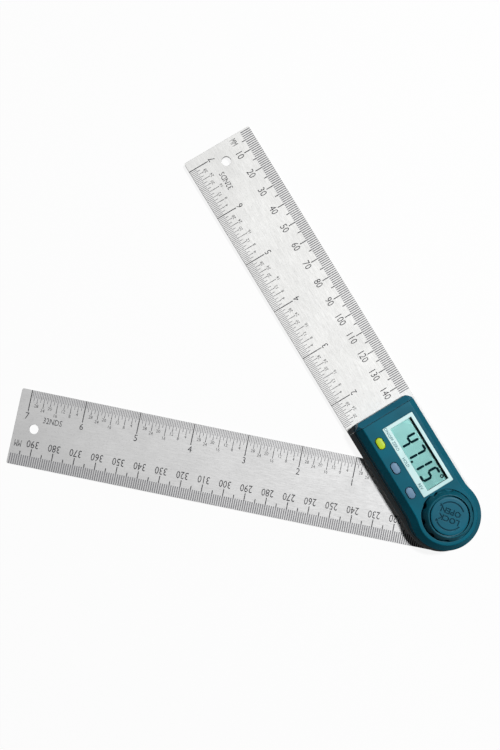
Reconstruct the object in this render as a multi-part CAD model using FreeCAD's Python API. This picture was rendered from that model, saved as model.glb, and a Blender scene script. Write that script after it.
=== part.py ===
import FreeCAD, Part
import math
import os
from FreeCAD import Vector

# Digital angle finder: two steel rules on one pivot, with a display housing on the upper rule.
# Millimetres. The origin is on the pivot axis, in the plane of the lower rule's underside.
# +X runs along the upper rule (the display blade) to its square end, +Z is up, out of the display.

# Blades
blade_reach = 200.0            # pivot axis to the square end
blade_width = 35.0
blade_thickness = 1.0
blade_corner_radius = 0.8
blade_gap = 0.25               # between the two blades
hang_hole_diameter = 4.5
hang_hole_inset = 9.0          # hole centre to the square end
opening_angle = 47.15          # degrees between the blades at rest, as the display reads

# Clearances
slip_gap = 0.05                # running fit on the pivot, radial and axial
move_gap = 0.3                 # between pieces that move past each other
seat_gap = 0.1                 # around a piece dropped into its seat
cut_over = 1.0                 # overrun of every cutting solid

# Housing shell, heights counted from the top of the display blade
face_margin = 1.65             # top face outside the bezel and the buttons
bevel_width = 2.9              # slope from the side walls up to the top face
bevel_height = 4.0
end_bulge = 1.1                # how far the round end stands out past the long sides
neck_radius = 20.0             # hollow blend from the round end into the sides
edge_round = 0.5
wall_thickness = 1.8
top_thickness = 1.4
cavity_corner = 1.1            # slope inside, along the upper corners of the room
far_margin = 4.7               # top face between the bezel and the drawer seam

# Round recess for the lock knob
recess_rim = 1.5               # level rim outside the recess at the round end
recess_depth = 0.8
recess_roof = 1.9              # plastic left under the recess
recess_web = 0.4               # plastic between the recess and the bezel

# Display
window_length = 32.0
window_width = 10.95
bezel_end_border = 1.7
bezel_plain_border = 1.5
bezel_word_border = 3.0        # wider side, next to the buttons
bezel_thickness = 1.0
bezel_proud = 0.2
bezel_corner = 0.4
pane_thickness = 0.8
pane_lap = 0.3                 # glued border behind the bezel
panel_thickness = 1.8
panel_drop = 0.2               # panel below the pane
panel_lap = 1.1
holder_wall = 0.7
holder_height_share = 0.75     # of the room between board and panel top
connector_height = 1.9
connector_width = 2.0
connector_inset = 0.3

# Buttons, in a row beside the display
button_names = ["button_reverse", "button_hold", "button_on_off"]
button_length = 5.3
button_width = 3.2
button_gap = 2.45              # top face between the bezel and the buttons
button_near_inset = 4.85       # bezel end to the middle of the first button
button_far_inset = 4.9
button_proud = 0.7
button_travel = 0.6
button_flange = 0.7            # lip under the top face that keeps the button in
button_flange_thickness = 0.75
button_crown = 0.3
keypad_thickness = 0.8
keypad_margin = 2.2
dome_radius = 1.6
dome_top_share = 0.7

# Circuit board and what it carries
board_thickness = 1.0
board_edge_gap = 0.4
board_bore_gap = 0.7           # round the rotor hub
chip_radius = 4.0
chip_height = 1.3
crystal_radius = 1.0
crystal_length = 6.0
capacitor_length = 2.0
capacitor_width = 1.25
capacitor_height = 0.8
capacitor_count = 4
capacitor_pitch = 3.2

# Coin cell and its drawer
cell_diameter = 20.0
cell_thickness = 3.2
cell_rim = 0.4
cell_seat = 0.1
drawer_front = 2.8             # length of the drawer front along X
drawer_seam = 0.2
drawer_slope_drop = 2.6
drawer_corner = 2.6
drawer_lift = 0.15             # floor above the blade
drawer_floor = 0.95
drawer_wall = 1.0
drawer_wall_share = 0.75       # of the cell's thickness
rail_thickness = 3.0           # least width of the guide rail with its side wall
contact_space = 1.2            # between the cell and the board
contact_sheet = 0.2
contact_width = 4.0
contact_foot = 2.0

# Pivot
shaft_radius = 5.0
shaft_foot_radius = 6.0
stud_radius = 3.0
bush_wall = 0.95
bush_flange = 2.0
bush_flange_thickness = 0.6
spring_outer_inset = 0.2       # disc spring inside the bush flange
spring_sheet = 0.25
spring_height = 0.5
clip_thickness = 0.6
clip_depth = 0.4
clip_width = 1.8
clip_mouth = 60.0              # degrees open
spacer_width = 7.0
rotor_thickness = 0.8
rotor_gap = 0.4                # rotor to circuit board
rotor_screw_gap = 1.2          # rotor to the heads of the board screws
rotor_hub_wall = 1.5
rotor_flange = 2.0
rotor_flange_thickness = 0.8

# Lock knob
knob_side_gap = 0.35           # knob to the wall of its recess
knob_rise = 4.3                # knob top above the top face
knob_notches = 10
knob_notch_radius = 1.5
knob_notch_depth = 0.75
knob_bevel = 2.05
knob_bevel_height = 3.2
knob_lip = 0.4                 # level ring round the cap's groove
knob_angle = 37.0              # degrees, the way the words on the cap read at rest
cap_groove = 0.6
cap_groove_depth = 1.1
cap_thickness = 0.9
cap_crown = 0.15
cap_rim = 1.0                  # cap outside its press ring
cap_ring_wall = 1.0
friction_washer_width = 5.0
friction_washer_thickness = 0.3
insert_wall = 1.55
stop_gap = 0.35                # insert to the head of the stop screw
stop_head_overlap = 1.1        # head past the stud
stop_head_height = 0.8
stop_shank_radius = 1.5
stop_shank_length = 5.0
drive_width = 0.8
drive_depth_share = 0.5

# Fasteners
housing_screw_radius = 1.0
housing_screw_head_radius = 1.75
housing_screw_head_height = 0.75
housing_screw_length = 4.4
housing_boss_radius = 2.2
housing_screw_near_inset = 6.5 # from the bezel's near end
housing_screw_far_inset = 3.8  # from the shell's open end
board_screw_radius = 0.8
board_screw_head_radius = 1.4
board_screw_head_height = 0.8
board_screw_length = 3.6
board_boss_radius = 1.6
board_boss_wall_gap = 0.2

# Levels worked out from the values above
display_blade_bottom = blade_thickness + blade_gap
base = display_blade_bottom + blade_thickness
drawer_bottom = base + drawer_lift
cell_bottom = drawer_bottom + drawer_floor
cell_top = cell_bottom + cell_thickness
board_bottom = cell_top + contact_space
board_top = board_bottom + board_thickness
panel_bottom = board_top + connector_height
panel_top = panel_bottom + panel_thickness
pane_bottom = panel_top + panel_drop
bezel_bottom = pane_bottom + pane_thickness
bezel_top = bezel_bottom + bezel_thickness
top = bezel_top - bezel_proud
shoulder = top - bevel_height
ceiling = top - top_thickness
recess_floor = top - recess_depth
knob_ceiling = recess_floor - recess_roof
rotor_top = board_bottom - rotor_gap
rotor_bottom = rotor_top - rotor_thickness
bush_top = base + bush_flange_thickness
clip_bottom = bush_top + spring_height + slip_gap
clip_top = clip_bottom + clip_thickness
washer_top = recess_floor + friction_washer_thickness
knob_bottom = washer_top + slip_gap
knob_top = top + knob_rise
cap_bottom = knob_top - cap_thickness
cap_seat = knob_top - cap_groove_depth
stop_head_top = cap_bottom - move_gap
stud_top = stop_head_top - stop_head_height
insert_top = stud_top - stop_gap
journal_top = knob_ceiling - move_gap

# Plan sizes and places worked out from the values above
cell_radius = cell_diameter / 2
drawer_half_width = cell_radius + cell_seat + drawer_wall
rail_inner = drawer_half_width + move_gap
bezel_length = window_length + 2 * bezel_end_border
bezel_width = window_width + bezel_plain_border + bezel_word_border
face_width = bezel_width + button_gap + button_width + 2 * face_margin
half_width = max(face_width / 2 + bevel_width, rail_inner + rail_thickness)
face_half = half_width - bevel_width
inner_half_width = half_width - wall_thickness
end_radius = half_width + end_bulge
recess_radius = end_radius - bevel_width - recess_rim
knob_radius = recess_radius - knob_side_gap
cap_radius = knob_radius - knob_bevel - knob_lip - cap_groove
cap_ring_radius = cap_radius - cap_rim
bezel_x = recess_radius + recess_web
bezel_end = bezel_x + bezel_length
bezel_y = -face_half + face_margin + bezel_width / 2
window_x = bezel_x + bezel_length / 2
window_y = bezel_y + (bezel_plain_border - bezel_word_border) / 2
shell_end = bezel_end + far_margin
front_x = shell_end + drawer_seam
housing_reach = front_x + drawer_front
cell_x = shell_end - drawer_half_width
drawer_rear_x = cell_x - drawer_half_width
crystal_x = (bezel_x + housing_screw_near_inset + drawer_rear_x) / 2
pane_length = window_length + 2 * pane_lap
pane_width = window_width + 2 * pane_lap
panel_length = window_length + 2 * panel_lap
panel_width = window_width + 2 * panel_lap
holder_length = panel_length + seat_gap + 2 * holder_wall
holder_width = panel_width + seat_gap + 2 * holder_wall
display_room_x = window_x - holder_length / 2 - seat_gap
board_far_x = shell_end - move_gap
bush_radius = shaft_radius + slip_gap + bush_wall
rotor_hub_radius = shaft_radius + rotor_hub_wall
insert_radius = stud_radius + slip_gap + insert_wall
board_boss_ring = end_radius - wall_thickness - board_boss_wall_gap - board_boss_radius
rotor_radius = board_boss_ring - board_screw_head_radius - rotor_screw_gap
board_screw_far_x = board_far_x - board_boss_wall_gap - board_boss_radius
board_screw_far_y = rail_inner - housing_screw_head_radius
housing_screw_near_x = bezel_x + housing_screw_near_inset
housing_screw_near_y = inner_half_width - housing_screw_head_radius / 2
housing_screw_far_x = shell_end - housing_screw_far_inset
housing_screw_far_y = (rail_inner + half_width) / 2
button_y = face_half - face_margin - button_width / 2
button_first_x = bezel_x + button_near_inset
button_last_x = bezel_end - button_far_inset
button_pitch = (button_last_x - button_first_x) / (len(button_names) - 1)
button_places = [button_first_x + n * button_pitch for n in range(len(button_names))]


# Basic solids
def cylinder(radius, z0, z1, x=0, y=0):
    return Part.makeCylinder(radius, z1 - z0, Vector(x, y, z0))


def ring(outer, inner, z0, z1, x=0, y=0):
    return cylinder(outer, z0, z1, x, y).cut(cylinder(inner, z0 - cut_over, z1 + cut_over, x, y))


def block(x0, x1, y0, y1, z0, z1):
    return Part.makeBox(x1 - x0, y1 - y0, z1 - z0, Vector(x0, y0, z0))


def centred_block(length, width, z0, z1, x, y):
    return block(x - length / 2, x + length / 2, y - width / 2, y + width / 2, z0, z1)


def prism(points, lift):
    wire = Part.makePolygon(points + points[:1])
    return Part.Face(wire).extrude(lift)


def turned(profile, x=0, y=0):
    points = [Vector(x + r, y, z) for r, z in profile]
    face = Part.Face(Part.makePolygon(points + points[:1]))
    return face.revolve(Vector(x, y, 0), Vector(0, 0, 1), 360)


def stadium(length, width, z0, z1, x, y):
    radius = width / 2
    reach = length / 2 - radius
    body = centred_block(2 * reach, width, z0, z1, x, y)
    for side in (-1, 1):
        body = body.fuse(cylinder(radius, z0, z1, x + side * reach, y))
    return body.removeSplitter()


def turn(shape, degrees):
    shape.rotate(Vector(0, 0, 0), Vector(0, 0, 1), degrees)
    return shape


def round_edges(shape, radius, wanted):
    edges = [edge for edge in shape.Edges if wanted(edge)]
    return shape.makeFillet(radius, edges) if edges else shape


def save(name, shape):
    shape.exportStep("parts/%s.step" % name)


# Blades
def blade(z0):
    """One rule: square far end, round end about the pivot, hanging hole."""
    z1 = z0 + blade_thickness
    half = blade_width / 2
    body = block(0, blade_reach, -half, half, z0, z1)
    body = round_edges(body, blade_corner_radius, lambda e: is_upright(e) and e.CenterOfMass.x > 0)
    body = body.fuse(cylinder(half, z0, z1)).removeSplitter()
    hole = cylinder(hang_hole_diameter / 2, z0 - cut_over, z1 + cut_over, blade_reach - hang_hole_inset)
    return body.cut(hole)


def is_upright(edge):
    box = edge.BoundBox
    return box.XLength + box.YLength < slip_gap and box.ZLength > 0


def housing_screw_places():
    places = []
    for side in (-1, 1):
        places.append((housing_screw_near_x, side * housing_screw_near_y))
        places.append((housing_screw_far_x, side * housing_screw_far_y))
    return places


def countersunk(head_radius, radius, head_height, z0, z1, x, y):
    """Cone that widens down to z0, then a straight shank up to z1."""
    return turned([(0, z0), (head_radius, z0), (radius, z0 + head_height), (radius, z1), (0, z1)], x, y)


def display_blade():
    body = blade(display_blade_bottom)
    body = body.cut(cylinder(bush_radius, display_blade_bottom - cut_over, base + cut_over))
    for x, y in housing_screw_places():
        body = body.cut(countersunk(housing_screw_head_radius, housing_screw_radius,
                                    housing_screw_head_height, display_blade_bottom, base + cut_over, x, y))
    return body


def moving_blade():
    body = blade(0).cut(cylinder(shaft_foot_radius, -cut_over, blade_thickness + cut_over))
    return turn(body, opening_angle)


# Housing
def housing_wire(inset, end_x, z):
    """Plan outline: straight sides, hollow necks, round end about the pivot."""
    half = half_width - inset
    round_r = end_radius - inset
    neck_r = neck_radius + inset
    neck_y = half + neck_r
    neck_x = math.sqrt((round_r + neck_r) ** 2 - neck_y ** 2)
    to_pivot = math.atan2(-neck_y, -neck_x)
    middle = (to_pivot - math.pi / 2) / 2
    touch = (neck_x * round_r / (round_r + neck_r), neck_y * round_r / (round_r + neck_r))
    neck_mid = (neck_x + neck_r * math.cos(middle), neck_y + neck_r * math.sin(middle))
    edges = []
    for side in (1, -1):
        edges.append(Part.Arc(Vector(neck_x, side * half, z), Vector(neck_mid[0], side * neck_mid[1], z),
                              Vector(touch[0], side * touch[1], z)).toShape())
        edges.append(Part.makeLine(Vector(end_x, side * half, z), Vector(neck_x, side * half, z)))
    edges.append(Part.Arc(Vector(touch[0], touch[1], z), Vector(-round_r, 0, z),
                          Vector(touch[0], -touch[1], z)).toShape())
    edges.append(Part.makeLine(Vector(end_x, half, z), Vector(end_x, -half, z)))
    return Part.Wire(Part.__sortEdges__(edges))


def housing_prism(inset, end_x, z0, z1):
    return Part.Face(housing_wire(inset, end_x, z0)).extrude(Vector(0, 0, z1 - z0))


def housing_block():
    """Outer form: upright walls, sloped shoulder, flat top."""
    body = housing_prism(0, shell_end, base, shoulder)
    crown = Part.makeLoft([housing_wire(0, shell_end, shoulder), housing_wire(bevel_width, shell_end, top)],
                          True, True)
    body = body.fuse(crown).removeSplitter()
    return round_edges(body, edge_round, is_shoulder_edge)


def is_shoulder_edge(edge):
    """Long level edges of the shoulder, without those of the open end."""
    box = edge.BoundBox
    level = box.ZLength < slip_gap and box.ZMin > shoulder - slip_gap
    return level and box.XLength > slip_gap


def cavity():
    """Room inside the shell, lower over the pivot than under the display, its upper corners sloped."""
    far = shell_end + cut_over
    low = housing_prism(wall_thickness, far, base - cut_over, knob_ceiling)
    high = housing_prism(wall_thickness, far, base, ceiling - cavity_corner)
    slopes = Part.makeLoft([housing_wire(wall_thickness, far, ceiling - cavity_corner),
                            housing_wire(wall_thickness + cavity_corner, far, ceiling)], True, True)
    display_room = block(display_room_x, far, -half_width, half_width, base, ceiling)
    return low.fuse(high.fuse(slopes).common(display_room))


def rails():
    """Thick side walls that guide the drawer and take the far screws."""
    inner_end = drawer_rear_x - move_gap
    body = None
    for side in (-1, 1):
        y0, y1 = sorted((side * rail_inner, side * (inner_half_width + slip_gap)))
        rail = block(inner_end, shell_end, y0, y1, base, board_bottom - seat_gap)
        body = rail if body is None else body.fuse(rail)
    return body


def near_bosses():
    """Posts by the side walls for the near pair of housing screws."""
    posts = [cylinder(housing_boss_radius, base, board_bottom - seat_gap, housing_screw_near_x,
                      side * housing_screw_near_y) for side in (-1, 1)]
    return posts[0].fuse(posts[1])


def board_screw_places():
    round_end = board_boss_ring * math.cos(math.pi / 4)
    return [(x, side * y) for x, y in ((-round_end, round_end), (board_screw_far_x, board_screw_far_y))
            for side in (-1, 1)]


def board_bosses():
    """Posts that hang from the ceiling down to the circuit board."""
    posts = None
    for x, y in board_screw_places():
        roof = knob_ceiling if x < 0 else ceiling
        post = cylinder(board_boss_radius, board_top, roof + slip_gap, x, y)
        posts = post if posts is None else posts.fuse(post)
    return posts


def display_cutout():
    pocket = centred_block(bezel_length + seat_gap, bezel_width + seat_gap, bezel_bottom, top + cut_over,
                           window_x, bezel_y)
    through = centred_block(pane_length + seat_gap, pane_width + seat_gap, ceiling - cut_over, top,
                            window_x, window_y)
    return pocket.fuse(through)


def housing_shell():
    body = housing_block().cut(cavity())
    inside = housing_prism(wall_thickness / 2, shell_end, base, top)
    body = body.fuse(rails().fuse(near_bosses()).common(inside)).fuse(board_bosses())
    body = body.cut(cylinder(recess_radius, recess_floor, top + cut_over))
    body = body.cut(cylinder(stud_radius + slip_gap, base, top + cut_over))
    body = body.cut(display_cutout())
    for x in button_places:
        body = body.cut(stadium(button_length + 2 * move_gap, button_width + 2 * move_gap,
                                ceiling - cut_over, top + cut_over, x, button_y))
    for x, y in housing_screw_places():
        body = body.cut(cylinder(housing_screw_radius, base - cut_over,
                                 display_blade_bottom + housing_screw_length, x, y))
    for x, y in board_screw_places():
        body = body.cut(cylinder(board_screw_radius, board_top - cut_over,
                                 board_bottom + board_screw_length, x, y))
    return body.removeSplitter()


# Display
def display_bezel():
    body = centred_block(bezel_length, bezel_width, bezel_bottom, bezel_top, window_x, bezel_y)
    body = round_edges(body, bezel_corner, is_upright)
    return body.cut(centred_block(window_length, window_width, bezel_bottom - cut_over, bezel_top + cut_over,
                                  window_x, window_y))


def display_pane():
    return centred_block(pane_length, pane_width, pane_bottom, bezel_bottom, window_x, window_y)


def display_panel():
    return centred_block(panel_length, panel_width, panel_bottom, panel_top, window_x, window_y)


def display_holder():
    """Frame on the board that keeps the panel and its connectors in line."""
    holder_top = board_top + holder_height_share * (panel_top - board_top)
    outer = centred_block(holder_length, holder_width, board_top, holder_top, window_x, window_y)
    return outer.cut(centred_block(panel_length + seat_gap, panel_width + seat_gap, board_top - cut_over,
                                   holder_top + cut_over, window_x, window_y))


def display_connectors():
    """Two elastomer strips that join the panel's long edges to the board."""
    offset = panel_width / 2 - connector_inset - connector_width / 2
    return Part.makeCompound([
        centred_block(panel_length - 2 * connector_width, connector_width, board_top, panel_bottom,
                      window_x, window_y + side * offset) for side in (-1, 1)])


# Buttons
def button(x):
    flange_top = ceiling - slip_gap
    cap = stadium(button_length, button_width, flange_top, top + button_proud, x, button_y)
    cap = round_edges(cap, button_crown, lambda e: e.BoundBox.ZMin > top)
    flange = stadium(button_length + 2 * button_flange, button_width + 2 * button_flange,
                     flange_top - button_flange_thickness, flange_top, x, button_y)
    return cap.fuse(flange)


def keypad():
    """Rubber sheet with one dome under each button."""
    dome_top = ceiling - slip_gap - button_flange_thickness - button_travel - seat_gap
    sheet_top = board_top + keypad_thickness
    middle = (button_places[0] + button_places[-1]) / 2
    length = button_places[-1] - button_places[0] + button_length
    body = centred_block(length, button_width + keypad_margin, board_top, sheet_top, middle, button_y)
    for x in button_places:
        body = body.fuse(turned([(0, board_top), (dome_radius, board_top), (dome_radius, sheet_top),
                                 (dome_radius * dome_top_share, dome_top), (0, dome_top)], x, button_y))
    return body.removeSplitter()


# Circuit board
def main_board():
    inset = wall_thickness + board_edge_gap
    body = housing_prism(inset, board_far_x, board_bottom, board_top)
    bore = rotor_hub_radius + board_bore_gap
    body = body.cut(cylinder(bore, board_bottom - cut_over, board_top + cut_over))
    for x, y in board_screw_places():
        body = body.cut(cylinder(board_screw_radius, board_bottom - cut_over, board_top + cut_over, x, y))
    return body


def controller_chip():
    """Moulded drop of resin over the chip, under the display."""
    ball = (chip_radius ** 2 + chip_height ** 2) / (2 * chip_height)
    drop = Part.makeSphere(ball, Vector(window_x, window_y, board_top + chip_height - ball))
    return drop.common(cylinder(chip_radius + cut_over, board_top, board_top + 2 * chip_height,
                                window_x, window_y))


def quartz_crystal():
    """Small can that lies under the board between the pivot and the drawer."""
    return Part.makeCylinder(crystal_radius, crystal_length,
                             Vector(crystal_x, -crystal_length / 2, board_bottom - crystal_radius),
                             Vector(0, 1, 0))


def capacitors():
    first = -(capacitor_count - 1) / 2 * capacitor_pitch
    x = crystal_x - crystal_radius - capacitor_length
    return Part.makeCompound([
        centred_block(capacitor_length, capacitor_width, board_bottom - capacitor_height, board_bottom,
                      x, first + n * capacitor_pitch) for n in range(capacitor_count)])


# Coin cell and drawer
def coin_cell():
    body = cylinder(cell_radius, cell_bottom, cell_top, cell_x)
    return round_edges(body, cell_rim, lambda e: e.BoundBox.ZLength < slip_gap)


def drawer_front_block():
    """End of the housing: carries on the side slopes and falls away to the end."""
    x0, z0 = front_x, drawer_bottom
    across = prism([Vector(x0, -half_width, z0), Vector(x0, half_width, z0), Vector(x0, half_width, shoulder),
                    Vector(x0, face_half, top), Vector(x0, -face_half, top), Vector(x0, -half_width, shoulder)],
                   Vector(drawer_front, 0, 0))
    along = prism([Vector(x0, -half_width, z0), Vector(housing_reach, -half_width, z0),
                   Vector(housing_reach, -half_width, top - drawer_slope_drop), Vector(x0, -half_width, top)],
                  Vector(0, 2 * half_width, 0))
    cut_y = half_width - drawer_corner
    plan = prism([Vector(x0, -half_width, z0), Vector(housing_reach - drawer_corner, -half_width, z0),
                  Vector(housing_reach, -cut_y, z0), Vector(housing_reach, cut_y, z0),
                  Vector(housing_reach - drawer_corner, half_width, z0), Vector(x0, half_width, z0)],
                 Vector(0, 0, top - z0))
    return across.common(along).common(plan).removeSplitter()


def battery_drawer():
    wall_top = cell_bottom + drawer_wall_share * cell_thickness
    tray = block(drawer_rear_x, front_x, -drawer_half_width, drawer_half_width, drawer_bottom, wall_top)
    pocket = cylinder(cell_radius + cell_seat, cell_bottom, wall_top + cut_over, cell_x)
    mouth = block(drawer_rear_x - cut_over, cell_x, -contact_width, contact_width, cell_bottom,
                  wall_top + cut_over)
    return tray.cut(pocket.fuse(mouth)).fuse(drawer_front_block()).removeSplitter()


def contact_side():
    """Sheet spring beside the cell's edge, hung from the board."""
    x1 = cell_x - cell_radius - move_gap
    leaf = block(x1 - contact_sheet, x1, -contact_width / 2, contact_width / 2, cell_bottom + contact_sheet,
                 board_bottom)
    foot = block(x1 - contact_foot, x1, -contact_width / 2, contact_width / 2,
                 board_bottom - contact_sheet, board_bottom)
    return leaf.fuse(foot).removeSplitter()


def contact_top():
    """Bowed sheet spring over the middle of the cell."""
    reach = cell_radius / 2
    low = cell_top + move_gap
    high = board_bottom - contact_sheet
    y = -contact_width / 2
    upper = [(cell_x + reach + contact_foot, high), (cell_x + reach, high), (cell_x - reach, low)]
    lower = [(x, z + contact_sheet) for x, z in reversed(upper)]
    return prism([Vector(x, y, z) for x, z in upper + lower], Vector(0, contact_width, 0))


# Pivot
def pivot_shaft():
    """Foot staked in the moving blade, journal through the bush, stud for the knob."""
    groove = shaft_radius - clip_depth
    body = turned([(0, 0), (shaft_foot_radius, 0), (shaft_foot_radius, blade_thickness),
                   (shaft_radius, blade_thickness), (shaft_radius, clip_bottom), (groove, clip_bottom),
                   (groove, clip_top), (shaft_radius, clip_top), (shaft_radius, journal_top),
                   (stud_radius, journal_top), (stud_radius, stud_top), (0, stud_top)])
    return body.cut(cylinder(stop_shank_radius, stud_top - stop_shank_length, stud_top + cut_over))


def blade_spacer():
    outer = shaft_radius + spacer_width
    return ring(outer, shaft_radius, blade_thickness, display_blade_bottom - slip_gap)


def pivot_bush():
    bore = shaft_radius + slip_gap
    rim = bush_radius + bush_flange
    return turned([(bore, display_blade_bottom), (bush_radius, display_blade_bottom), (bush_radius, base),
                   (rim, base), (rim, bush_top), (bore, bush_top)])


def disc_spring():
    """Slightly coned washer between the bush flange and the clip."""
    bore = shaft_radius + slip_gap
    rim = bush_radius + bush_flange - spring_outer_inset
    rise = spring_height - spring_sheet
    return turned([(rim, bush_top), (rim, bush_top + spring_sheet),
                   (bore, bush_top + rise + spring_sheet), (bore, bush_top + rise)])


def retaining_clip():
    inner = shaft_radius - clip_depth
    body = ring(inner + clip_width, inner, clip_bottom, clip_top)
    half = math.radians(clip_mouth / 2)
    far = inner + clip_width + cut_over
    mouth = prism([Vector(0, 0, clip_bottom - cut_over),
                   Vector(far, -far * math.tan(half), clip_bottom - cut_over),
                   Vector(far, far * math.tan(half), clip_bottom - cut_over)],
                  Vector(0, 0, clip_thickness + 2 * cut_over))
    return turn(body.cut(mouth), opening_angle)


def rotor_hub():
    z0 = clip_top + slip_gap
    flange_bottom = rotor_bottom - rotor_flange_thickness
    rim = rotor_hub_radius + rotor_flange
    return turned([(shaft_radius, z0), (rotor_hub_radius, z0), (rotor_hub_radius, flange_bottom),
                   (rim, flange_bottom), (rim, rotor_bottom), (rotor_hub_radius, rotor_bottom),
                   (rotor_hub_radius, rotor_top), (shaft_radius, rotor_top)])


def encoder_rotor():
    return ring(rotor_radius, rotor_hub_radius, rotor_bottom, rotor_top)


# Lock knob
def friction_washer():
    bore = stud_radius + slip_gap
    return ring(bore + friction_washer_width, bore, recess_floor, washer_top)


def lock_knob():
    """Grip ring with finger notches, pocket for the cap and seat for the insert."""
    pocket = cap_radius + cap_groove
    well = cap_ring_radius
    profile = [(insert_radius, knob_bottom), (knob_radius, knob_bottom),
               (knob_radius, knob_top - knob_bevel_height), (knob_radius - knob_bevel, knob_top),
               (pocket, knob_top), (pocket, cap_seat), (well, cap_seat), (well, insert_top),
               (insert_radius, insert_top)]
    body = round_edges(turned(profile), edge_round, is_knob_rim)
    centre = knob_radius - knob_notch_depth + knob_notch_radius
    for n in range(knob_notches):
        a = math.radians(360 * n / knob_notches)
        body = body.cut(cylinder(knob_notch_radius, knob_bottom - cut_over, knob_top + cut_over,
                                 centre * math.cos(a), centre * math.sin(a)))
    return turn(body, knob_angle)


def is_knob_rim(edge):
    box = edge.BoundBox
    wide = box.XLength > 2 * (knob_radius - knob_bevel) - slip_gap
    return box.ZLength < slip_gap and wide and box.ZMin > knob_bottom + slip_gap


def knob_insert():
    return ring(insert_radius, stud_radius + slip_gap, knob_bottom, insert_top)


def knob_stop_screw():
    """Wide-headed screw in the stud's end that keeps the knob on."""
    head_radius = stud_radius + stop_head_overlap
    body = cylinder(head_radius, stud_top, stop_head_top)
    body = body.fuse(cylinder(stop_shank_radius, stud_top - stop_shank_length, stud_top))
    slot_floor = stop_head_top - drive_depth_share * stop_head_height
    for length, width in ((head_radius, drive_width), (drive_width, head_radius)):
        body = body.cut(centred_block(length, width, slot_floor, stop_head_top + cut_over, 0, 0))
    return turn(body.removeSplitter(), opening_angle)


def knob_cap():
    """Disc with a faint crown, held by a ring that presses into the knob's well."""
    disc = cylinder(cap_radius, cap_bottom, knob_top)
    disc = disc.fuse(ring(cap_ring_radius, cap_ring_radius - cap_ring_wall, insert_top, cap_bottom))
    disc = round_edges(disc.removeSplitter(), cap_crown, lambda e: e.BoundBox.ZMin > knob_top - slip_gap)
    return turn(disc, knob_angle)


# Fasteners
def slotted(body, z, radius, x, y, depth):
    """Cross recess in a head that faces down at level z."""
    for length, width in ((radius, drive_width / 2), (drive_width / 2, radius)):
        body = body.cut(centred_block(length, width, z - cut_over, z + depth, x, y))
    return body


def housing_screws():
    screws = []
    z0 = display_blade_bottom
    for x, y in housing_screw_places():
        body = countersunk(housing_screw_head_radius, housing_screw_radius, housing_screw_head_height,
                           z0, z0 + housing_screw_length, x, y)
        screws.append(slotted(body, z0, housing_screw_head_radius, x, y,
                              drive_depth_share * housing_screw_head_height))
    return Part.makeCompound(screws)


def board_screws():
    screws = []
    for x, y in board_screw_places():
        head = cylinder(board_screw_head_radius, board_bottom - board_screw_head_height, board_bottom, x, y)
        body = head.fuse(cylinder(board_screw_radius, board_bottom, board_bottom + board_screw_length, x, y))
        screws.append(slotted(body, board_bottom - board_screw_head_height, board_screw_head_radius, x, y,
                              drive_depth_share * board_screw_head_height))
    return Part.makeCompound(screws)


makers = {
    "display_blade": display_blade, "moving_blade": moving_blade, "housing_shell": housing_shell,
    "display_bezel": display_bezel, "display_pane": display_pane, "display_panel": display_panel,
    "display_holder": display_holder, "display_connectors": display_connectors, "keypad": keypad,
    "main_board": main_board, "controller_chip": controller_chip, "quartz_crystal": quartz_crystal,
    "capacitors": capacitors, "coin_cell": coin_cell, "battery_drawer": battery_drawer,
    "contact_side": contact_side, "contact_top": contact_top, "pivot_shaft": pivot_shaft,
    "blade_spacer": blade_spacer, "pivot_bush": pivot_bush, "disc_spring": disc_spring,
    "retaining_clip": retaining_clip, "rotor_hub": rotor_hub, "encoder_rotor": encoder_rotor,
    "friction_washer": friction_washer, "lock_knob": lock_knob, "knob_insert": knob_insert,
    "knob_stop_screw": knob_stop_screw, "knob_cap": knob_cap, "housing_screws": housing_screws,
    "board_screws": board_screws,
}

os.makedirs("parts", exist_ok=True)
for name, make in makers.items():
    save(name, make())
for name, x in zip(button_names, button_places):
    save(name, button(x))
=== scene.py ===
import bpy
import math
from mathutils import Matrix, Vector


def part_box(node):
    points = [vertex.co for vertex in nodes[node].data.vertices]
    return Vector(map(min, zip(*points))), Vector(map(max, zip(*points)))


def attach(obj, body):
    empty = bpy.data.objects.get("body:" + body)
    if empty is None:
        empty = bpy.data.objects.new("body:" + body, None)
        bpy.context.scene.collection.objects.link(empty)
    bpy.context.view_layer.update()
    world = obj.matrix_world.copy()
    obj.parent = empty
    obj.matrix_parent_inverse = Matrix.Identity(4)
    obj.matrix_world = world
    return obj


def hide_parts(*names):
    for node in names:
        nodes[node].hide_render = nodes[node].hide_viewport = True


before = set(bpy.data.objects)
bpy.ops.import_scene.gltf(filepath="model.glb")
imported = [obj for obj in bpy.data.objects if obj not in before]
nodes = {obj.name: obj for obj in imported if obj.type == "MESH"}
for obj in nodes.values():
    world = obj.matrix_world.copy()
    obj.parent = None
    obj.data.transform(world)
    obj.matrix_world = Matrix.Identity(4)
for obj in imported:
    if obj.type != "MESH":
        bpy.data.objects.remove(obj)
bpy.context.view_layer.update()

MM = 0.001


def corners(node):
    """Lowest and highest corner of a CAD node, in millimetres."""
    low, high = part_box(node)
    return Vector([round(part / MM, 3) for part in low]), Vector([round(part / MM, 3) for part in high])


# Places on the tool, in millimetres. X runs along the upper rule, Z is up.
OPENING = math.radians(47.15)
RULE_REACH, RULE_HALF, UPPER_RULE_TOP = corners("display_blade")[1]
LOWER_RULE_TOP = corners("moving_blade")[1].z
MARK_RISE = 0.015              # etched marks stand this much over the steel, as filled ink does
HAIR = 0.005                   # keeps two thin things from lying in one plane

# Knob
KNOB_BOTTOM, KNOB_TOP = corners("lock_knob")[0].z, corners("lock_knob")[1].z
KNOB_RADIUS = 11.45
KNOB_TURN = math.radians(37.0)

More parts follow.
